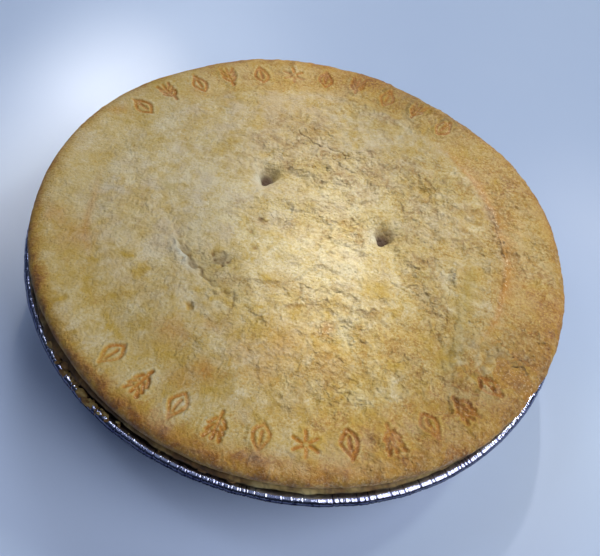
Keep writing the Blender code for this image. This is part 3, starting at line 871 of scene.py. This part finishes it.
def crumb(place, size, flat, stretch, spin, seed):
    """One lumpy crumb: its points and its faces."""
    ball = bmesh.new()
    bmesh.ops.create_icosphere(ball, subdivisions=3 if size > 0.9 else 2, radius=1)
    rotation = Matrix.Rotation(spin, 3, "Z")
    points = []
    for vertex in ball.verts:
        lump = 1 + 0.55 * noise.noise(vertex.co * 1.3 + Vector((3.1 * seed, 0, 0)))
        lump += 0.3 * noise.noise(vertex.co * 3.4 + Vector((0, 1.7 * seed, 0)))
        shape = Vector((vertex.co.x * stretch, vertex.co.y, vertex.co.z * flat))
        points.append(tuple(Vector(place) + rotation @ shape * lump * size))
    faces = [tuple(vertex.index for vertex in face.verts) for face in ball.faces]
    ball.free()
    return points, faces


def smear():
    """Greasy flakes that cover part of the bead: a strip that dips into the bead where it's bare."""
    first, last = np.radians(SMEAR)
    back, front = np.radians(SMEAR_OVER)
    at = np.repeat(np.linspace(first, last, SMEAR_COLUMNS + 1), SMEAR_ROWS + 1)
    lean = np.tile(np.linspace(back, front, SMEAR_ROWS + 1), SMEAR_COLUMNS + 1)
    covered = smooth(at, first, first + math.radians(6)) * smooth(at, last, last - math.radians(7))
    covered *= smooth(lean, back, back - math.radians(30)) * smooth(lean, front, front + 0.6)
    height = 0.75 * lumps(np.column_stack([at * RIM_RADIUS, lean * BEAD_RADIUS]), 3.4, 90, 3) + 0.18
    height = np.clip(height, -0.3, 0.6) * covered - 0.25 * (1 - covered)
    reach = BEAD_RADIUS + height
    points = from_polar(BEAD_OUT + reach * np.cos(lean), at, BEAD_UP + reach * np.sin(lean))
    faces = []
    for column in range(SMEAR_COLUMNS):
        for row in range(SMEAR_ROWS):
            corner = column * (SMEAR_ROWS + 1) + row
            beside = corner + SMEAR_ROWS + 1
            faces.append((corner, beside, beside + 1, corner + 1))
    return points.tolist(), faces


def add_crumbs(material):
    """Crumbs, curls and a smear of flakes that lie on the foil's bead at the near left."""
    draw = random.Random(CRUMB_SEED)
    points, faces = smear()
    bake = (0.48 + 0.6 * lumps(points, 4, 91, 2)).tolist()

    def drop(at, radius, height, shape, baked):
        place = (radius * math.cos(at), radius * math.sin(at), height)
        more, more_faces = crumb(place, *shape)
        faces.extend([tuple(len(points) + n for n in face) for face in more_faces])
        points.extend(more)
        bake.extend([baked] * len(more))

    for number in range(CRUMBS):
        at = math.radians(draw.gauss(234, 5.5))
        size = draw.uniform(0.2, 0.7)
        across = draw.uniform(-1.3, 0.9)
        height = BEAD_UP + math.sqrt(BEAD_RADIUS**2 - across**2) + 0.3 * size
        flat, stretch = draw.uniform(0.45, 0.8), draw.uniform(1, 1.7)
        shape = (size, flat, stretch, draw.uniform(0, 6.28), number)
        drop(at, BEAD_OUT + across, height, shape, 0.2 + 0.5 * draw.random())
    for number, (degrees, radius, height, size, flat, stretch, turn) in enumerate(CURLS):
        at = math.radians(degrees)
        shape = (size, flat, stretch, at + math.radians(turn), 100 + number)
        drop(at, radius, height, shape, 0.45 + 0.3 * draw.random())
    masks = {"bake": np.array(bake), "painted_shade": np.zeros(len(points))}
    add_piece("crumbs", points, faces, material, None, masks)


# ---- the foil


def wall_radius(height):
    """The wall's inner face at a height."""
    start = math.pi - WALL_LEAN
    top = BEAD_UP + BEAD_RADIUS * math.sin(start)
    return BEAD_OUT + BEAD_RADIUS * math.cos(start) - (top - height) * math.tan(WALL_LEAN)


def corner_arc(depths):
    """The round corner at the foot of the wall: a point for each depth below the food's side."""
    inner = CORNER_RADIUS - FOIL
    middle = wall_radius(CORNER_RADIUS - inner * math.sin(WALL_LEAN)) - inner * math.cos(WALL_LEAN)
    arc = []
    for step, depth in enumerate(depths):
        angle = -math.pi / 2 + (math.pi / 2 - WALL_LEAN) * step / (len(depths) - 1)
        reach = inner + depth
        arc.append((middle + reach * math.cos(angle), CORNER_RADIUS + reach * math.sin(angle)))
    return arc


def foil_profile(depth):
    """One face of the sheet from its middle out, at a depth below the food's side.

    Each row is a radius, a height, how many points, and how far the coarse pleats and the fine
    flutes come in. On the bead the last is -1.
    """
    base = FOIL - depth
    rows = [(0, base + PANEL_RISE, 1, 0, 0), (30, base + PANEL_RISE, 80, 0, 0)]
    for back, share in ((1, 1), (0.6, 0.8), (0.3, 0.2), (0, 0)):
        rows.append((PANEL_RADIUS - back * PANEL_STEP, base + share * PANEL_RISE, 160, 0, 0))
    rows.append((70, base, 320, 0, 0))
    corner = corner_arc([depth] * 6)
    for step, (radius, height) in enumerate(corner):
        rows.append((radius, height, 640, 0.18 * step, 0.12 * step))
    top = BEAD_UP - 0.6 * BEAD_RADIUS
    foot = corner[-1][1]
    for step in range(1, 9):
        height = foot + (top - foot) * step / 8
        radius = wall_radius(height) + depth / math.cos(WALL_LEAN)
        rows.append((radius, height, FOIL_COLUMNS, 0.9, 0.6 + 0.05 * step))
    start, end = math.pi - WALL_LEAN, math.radians(-135)
    spans, count = (6, FOIL_COLUMNS) if depth else (12, BEAD_COLUMNS)
    reach = BEAD_RADIUS - depth
    for step in range(spans + 1):
        angle = start + (end - start) * step / spans
        radius, height = BEAD_OUT + reach * math.cos(angle), BEAD_UP + reach * math.sin(angle)
        rows.append((radius, height, count, 0.25 if step else 0.6, -1))
    return rows


def pleats(angle):
    """The solids' own coarse pleats, -1 to 1, with straight runs between them."""
    draw = random.Random(PLEAT_SEED)
    columns = 2 * PLEATS
    values = [(1 if n % 2 else -1) * draw.uniform(0.35, 1) for n in range(columns)]
    return np.interp((angle / ROUND) % 1 * columns, np.arange(columns + 1), values + values[:1])


def flutes(angle):
    """Fine upright flutes of uneven pitch and depth, -1 to 1."""
    circle = from_polar(1, angle, 0)
    phase = 260 * angle + 5 * lumps(circle, 0.11, 80)
    return np.sin(phase) * (0.65 + 0.7 * lumps(circle, 0.07, 81))


def wrinkles(angle):
    """Sharp wrinkles across the bead, in clusters between smooth runs, in mm."""
    draw = random.Random(WRINKLE_SEED)
    total = np.zeros(len(angle))
    at = 0
    while at < ROUND:
        place = Vector((math.cos(at), math.sin(at), 0.3))
        busy = 0.25 + 0.75 * sector(at, 305, 38)
        crowded = noise.noise(place / 0.07) > 0.3 - 0.55 * busy
        at += draw.uniform(*((0.6, 2) if crowded else (2.2, 5))) / RIM_RADIUS
        deep = draw.uniform(0.08, 0.34) * draw.choice((-1, -1, -1, 0.6))
        wide = draw.uniform(0.22, 0.46) / RIM_RADIUS
        away = (angle - at + math.pi) % ROUND - math.pi
        total += deep * np.maximum(0, 1 - np.abs(away) / wide)
    return total


def add_foil(material):
    """The dish: both faces of one closed sheet, pleated up the wall and wrinkled on the bead."""
    rings, masks = [], {"under": [], "painted_crease_shade": [], "rolled": []}
    for radius, height, count, coarse, fine in foil_profile(0) + foil_profile(FOIL)[::-1]:
        angle = even_angles(count)
        bulge = RIM_BULGE * sector(angle, RIM_BULGE_MIDDLE, RIM_BULGE_WIDTH)
        pleated = radius + coarse * PLEAT_DEPTH * pleats(angle)
        on_bead = fine < 0
        if on_bead:
            out, up = (radius - BEAD_OUT) / BEAD_RADIUS, (height - BEAD_UP) / BEAD_RADIUS
            folds = wrinkles(angle + WRINKLE_SKEW * up)
            push = folds + 0.12 * lumps(from_polar(1, angle, 0), 0.05, 82)
            reach = pleated + push * out + bulge * (0.6 + 0.4 * out)
            height = height + push * up
            # Painted shade and dark reflection on the bead's outer lower side, more at the near side.
            under = smooth(out - 0.6 * up, 0.1, 0.7) * (0.4 + 0.6 * sector(angle, 262, 80))
            # Painted shade, dark blue, in the wrinkles' folds.
            painted_crease_shade = smooth(-folds, 0.06, 0.2)
        else:
            fluted = fine * flutes(angle)
            reach = pleated + FLUTE_DEPTH * fluted + bulge * smooth(height, 14, DISH_HEIGHT)
            under = np.zeros(count)
            # Painted shade between the flutes.
            painted_crease_shade = 0.6 * smooth(-fluted, 0.1, 0.8)
        rings.append(from_polar(reach, angle, height))
        for mask, values in zip(masks.values(), (under, painted_crease_shade, np.full(count, float(on_bead)))):
            mask.append(values)
    points, faces = stacked(rings)
    masks = {name: np.concatenate(values) for name, values in masks.items()}
    add_piece("foil", points, faces, material, "foil_dish", masks)


# ---- materials


def linear(red, green, blue):
    """A colour of 0 to 255 as eyes see it, in the linear light that shaders use."""
    shares = (red / 255, green / 255, blue / 255)
    return (*(v / 12.92 if v <= 0.04045 else ((v + 0.055) / 1.055) ** 2.4 for v in shares), 1)


class Graph:
    """A material's nodes, added and linked a line at a time."""

    def __init__(self, name):
        self.material = bpy.data.materials.new(name)
        self.material.use_nodes = True
        self.tree = self.material.node_tree
        self.shader = self.tree.nodes["Principled BSDF"]
        self.colour = None

    def put(self, socket, value):
        if isinstance(value, bpy.types.NodeSocket):
            self.tree.links.new(value, socket)
        else:
            socket.default_value = value

    def add(self, kind, inputs=None, **settings):
        node = self.tree.nodes.new("ShaderNode" + kind)
        for setting, value in settings.items():
            setattr(node, setting, value)
        for socket, value in (inputs or {}).items():
            self.put(node.inputs[socket], value)
        return node

    def mask(self, name):
        return self.add("Attribute", attribute_name=name).outputs["Fac"]

    def math(self, operation, *values):
        return self.add("Math", dict(enumerate(values)), operation=operation).outputs[0]

    def times(self, first, second):
        return self.math("MULTIPLY", first, second)

    def line(self, value, slope, start):
        return self.math("MULTIPLY_ADD", value, slope, start)

    def noise(self, size, detail=2, roughness=0.5, distortion=0):
        """Noise of 0 to 1 whose lumps are about size mm across, fixed to the object."""
        place = self.add("TexCoord").outputs["Object"]
        inputs = {"Vector": place, "Scale": 1 / (size * MM), "Detail": detail}
        inputs.update({"Roughness": roughness, "Distortion": distortion})
        return self.add("TexNoise", inputs).outputs["Fac"]

    def cells(self, size):
        """Ragged cells about size mm across: a number of 0 to 1 for each, and how far out it is."""
        place = self.add("TexCoord").outputs["Object"]
        inputs = {"Vector": place, "Scale": 1.1 / (size * MM), "Detail": 2, "Roughness": 0.5}
        stir = self.add("TexNoise", inputs).outputs["Color"]
        inputs = {0: stir, 1: (0.9 * size * MM,) * 3, 2: place}
        stirred = self.add("VectorMath", inputs, operation="MULTIPLY_ADD").outputs[0]
        inputs = {"Vector": stirred, "Scale": 1 / (size * MM)}
        cells = self.add("TexVoronoi", inputs, feature="F1").outputs
        tone = self.add("SeparateColor", {"Color": cells["Color"]}).outputs[0]
        return tone, cells["Distance"]

    def steps(self, value, low, high):
        """0 below low, 1 above high."""
        inputs = {"Value": value, "From Min": low, "From Max": high}
        return self.add("MapRange", inputs).outputs["Result"]

    def mix(self, share, first, second):
        inputs = {"Factor": share, 6: first, 7: second}
        return self.add("Mix", inputs, data_type="RGBA", clamp_factor=True).outputs[2]

    def tint(self, rgb, share, *amounts):
        """Lays a colour over the one so far, as far as the share times the amounts says."""
        for amount in amounts:
            share = self.times(share, amount)
        self.colour = self.mix(share, self.colour, linear(*rgb))

    def ramp(self, value, stops):
        node = self.add("ValToRGB", {"Fac": value})
        ramp = node.color_ramp
        while len(ramp.elements) < len(stops):
            ramp.elements.new(0.5)
        for element, (at, *rgb) in zip(ramp.elements, stops):
            element.position = at
            element.color = linear(*rgb)
        return node.outputs["Color"]

    def bump(self, height, distance, strength=1, normal=None):
        inputs = {"Height": height, "Distance": distance * MM, "Strength": strength}
        if normal:
            inputs["Normal"] = normal
        return self.add("Bump", inputs).outputs["Normal"]

    def dressed(self, roughness, normal):
        """The material, once its shader has the colour so far, a roughness and a normal."""
        inputs = {"Base Color": self.colour, "Roughness": roughness, "Normal": normal}
        for socket, value in inputs.items():
            self.put(self.shader.inputs[socket], value)
        return self.material


def lid_material():
    """Baked shortcrust: pale straw to brown by how far it has baked, speckled and flaky."""
    g = Graph("lid_crust")
    speckle = g.noise(0.9, 3, 0.7)
    crackle = g.mask("crackle")
    bake = g.math("ADD", g.line(g.noise(3.2, 4, 0.68, 0.7), 0.5, -0.25), g.mask("bake"))
    fine = g.times(g.math("SUBTRACT", speckle, 0.5), g.line(g.mask("left"), -0.9, 1.35))
    g.colour = g.ramp(g.math("ADD", bake, fine), LID_STOPS)
    # Olive tint, partly painted olive shade in the hollows.
    g.tint((190, 166, 80), g.mask("olive_grease_and_shade"), 0.6)
    g.tint((200, 162, 60), g.steps(g.noise(8, 5, 0.62, 0.8), 0.44, 0.66), g.mask("gold"))
    g.tint((202, 130, 32), g.mask("amber"), 0.65)
    g.tint((218, 202, 178), g.steps(g.noise(10, 5, 0.6), 0.48, 0.64), g.mask("cream"))
    g.tint((232, 210, 156), g.steps(g.noise(2.6, 3, 0.65, 0.8), 0.48, 0.56), crackle, 0.26)

    # Plates and crumbs of crust, each of its own tone, with gaps where they meet painted darker as
    # shade.
    shows = g.times(crackle, g.steps(g.noise(9, 3), 0.34, 0.6))
    cut = None
    for size, tall, contrast in ((5.8, 1.35, 0.34), (2.4, 0.6, 0.24)):
        tone, out = g.cells(size)
        g.tint((200, 156, 80), g.line(tone, -contrast, 0.5 * contrast), crackle)
        g.tint((160, 112, 46), g.steps(out, 0.46, 0.8), shows, 0.46)
        dome = g.line(g.times(out, out), -1, 1)
        cut = g.bump(g.times(dome, shows), tall, 1, cut)
    crumbs = g.noise(1.4, 1)
    # Painted shade in the crumbs' hollows and painted light on their tops.
    g.tint((168, 118, 48), g.line(g.steps(crumbs, 0.32, 0.5), -0.4, 0.4), shows)
    g.tint((240, 220, 170), g.steps(crumbs, 0.54, 0.68), crackle, 0.3)
    # Painted shade in the closed vent's hollow and the fold's hollow.
    g.tint((136, 112, 78), g.mask("painted_hollow_shade"), 0.7)
    # Painted highlights on the fold's lip and the vents' left walls.
    g.tint((228, 224, 208), g.mask("white"), 0.8)
    g.tint((238, 222, 178), g.mask("pale"), g.steps(g.noise(1.6, 3), 0.3, 0.6), 0.75)
    # Painted shade in the vents, pits, cracks, gaps and seams.
    g.tint((74, 40, 10), g.mask("painted_shade"))
    # Painted highlights, bright flecks where the glint mask is.
    g.tint((255, 232, 186), g.mask("glint"), g.steps(g.noise(1.1, 3, 0.7), 0.54, 0.62), 0.75)
    rough = g.line(g.times(g.mask("gloss"), g.steps(speckle, 0.4, 0.62)), -0.28, 0.64)
    knobs = g.times(g.noise(2.2, 3, 0.6), g.line(crackle, 0.9, 0.3))
    grit = g.times(crumbs, g.line(crackle, 0.65, 0.5))
    coarse = g.bump(grit, 0.7, 1, g.bump(knobs, 0.6, 1, cut))
    return g.dressed(rough, g.bump(speckle, 0.68, 1, coarse))


def case_material():
    """The case's pastry: khaki and brown, dry and crumbly."""
    g = Graph("case_crust")
    bake = g.math("ADD", g.line(g.noise(2.5, 4, 0.6), 0.5, -0.25), g.mask("bake"))
    g.colour = g.ramp(bake, CASE_STOPS)
    # Painted shade in the ledge's creases.
    g.tint((30, 20, 12), g.mask("painted_shade"))
    return g.dressed(g.steps(g.noise(3), -0.4, 1.2), g.bump(g.noise(1, 4, 0.65), 0.4, 0.8))


def foil_material():
    """Bright pressed foil, with fine crinkles that the mesh is too coarse for, and painted shade and
    reflection on the bead.
    """
    g = Graph("foil")
    g.put(g.shader.inputs["Metallic"], 1)
    dull = g.steps(g.noise(6, 3), 0.35, 0.75)
    plain = g.mix(dull, linear(232, 232, 230), linear(200, 202, 206))
    # The bead's blue-violet base colour is a painted reflection of bluish surroundings.
    painted_bead_reflection = g.mix(dull, linear(218, 222, 248), linear(184, 188, 232))
    g.colour = g.mix(g.mask("rolled"), plain, painted_bead_reflection)
    # Painted shade, dark blue, in the wrinkles and between the flutes.
    g.tint((58, 62, 116), g.mask("painted_crease_shade"), 0.75)
    # Painted shade and painted dark reflection on the bead's outer lower side, in streaks: a darker
    # colour and a darker specular tint.
    streaks = g.steps(g.noise(1.2, 3, 0.6, 1), 0.5, 0.36)
    painted_bead_shade = g.times(g.mask("under"), g.line(streaks, 0.3, 0.9))
    g.tint((26, 30, 60), painted_bead_shade)
    sheen = g.mix(painted_bead_shade, linear(255, 255, 255), linear(60, 66, 96))
    g.put(g.shader.inputs["Specular Tint"], sheen)
    return g.dressed(g.line(dull, 0.1, 0.1), g.bump(g.noise(1.4, 3, 0.6, 1.5), 0.12, 0.7))


def floor_material():
    """A pale, faintly blue board with a fine grain and a soft sheen."""
    g = Graph("floor")
    g.colour = g.mix(g.noise(60), linear(194, 211, 243), linear(199, 215, 245))
    return g.dressed(0.36, g.bump(g.noise(0.9), 0.03, 0.5))


# ---- the stage


def add_floor():
    shape = bmesh.new()
    bmesh.ops.create_grid(shape, x_segments=8, y_segments=8, size=FLOOR_SIZE)
    mesh = bpy.data.meshes.new("floor")
    shape.to_mesh(mesh)
    shape.free()
    mesh.materials.append(floor_material())
    floor = placed("floor", mesh)
    floor.location.z = -FLOOR_DROP * MM


def add_lamp(name, kind, azimuth, elevation, distance, target, power, colour, **settings):
    """A lamp that faces a target in mm, from degrees round and up and a distance in metres."""
    data = bpy.data.lights.new(name, kind)
    data.energy = power
    data.color = colour
    for setting, value in settings.items():
        setattr(data, setting, value)
    turn, up = math.radians(azimuth), math.radians(elevation)
    out = Vector((math.cos(turn) * math.cos(up), math.sin(turn) * math.cos(up), math.sin(up)))
    lamp = placed(name, data)
    lamp.location = out * distance + Vector(target) * MM
    lamp.rotation_euler = out.to_track_quat("Z", "Y").to_euler()


def add_lamps():
    for name, *aim, size, power, colour in LIGHTS:
        add_lamp(name, "AREA", *aim, (0, 0, 0), power, colour, shape="DISK", size=size)
    for name, middle, radius, softness, power, colour in POOLS:
        cone = {"spot_size": 2 * math.atan2(radius * MM, POOL_AIM[-1]), "spot_blend": softness}
        add_lamp(name, "SPOT", *POOL_AIM, middle, power, colour, shadow_soft_size=POOL_LAMP, **cone)


def add_camera():
    data = bpy.data.cameras.new("camera")
    data.lens = CAMERA_LENS
    data.sensor_width = CAMERA_SENSOR
    data.clip_start = CAMERA_CLIP
    forward = Vector((0, math.cos(CAMERA_DOWN), -math.sin(CAMERA_DOWN)))
    right = Vector((1, 0, 0))
    up = right.cross(forward)
    cos, sin = math.cos(CAMERA_ROLL), math.sin(CAMERA_ROLL)
    axes = Matrix((cos * right + sin * up, cos * up - sin * right, -forward)).transposed()
    camera = placed("camera", data)
    camera.matrix_world = Matrix.Translation(Vector(CAMERA_PLACE) * MM) @ axes.to_4x4()
    bpy.context.scene.camera = camera


def add_world():
    world = bpy.data.worlds.new("world")
    world.use_nodes = True
    background = world.node_tree.nodes["Background"].inputs
    background["Color"].default_value = WORLD_COLOUR
    background["Strength"].default_value = WORLD_STRENGTH
    bpy.context.scene.world = world


def main():
    add_camera()
    add_world()
    add_floor()
    add_lamps()
    crust = lid_material()
    case = case_material()
    add_lid(crust)
    add_case(case)
    add_crumbs(case)
    add_foil(foil_material())
    bpy.context.scene.view_settings.view_transform = "Standard"


main()
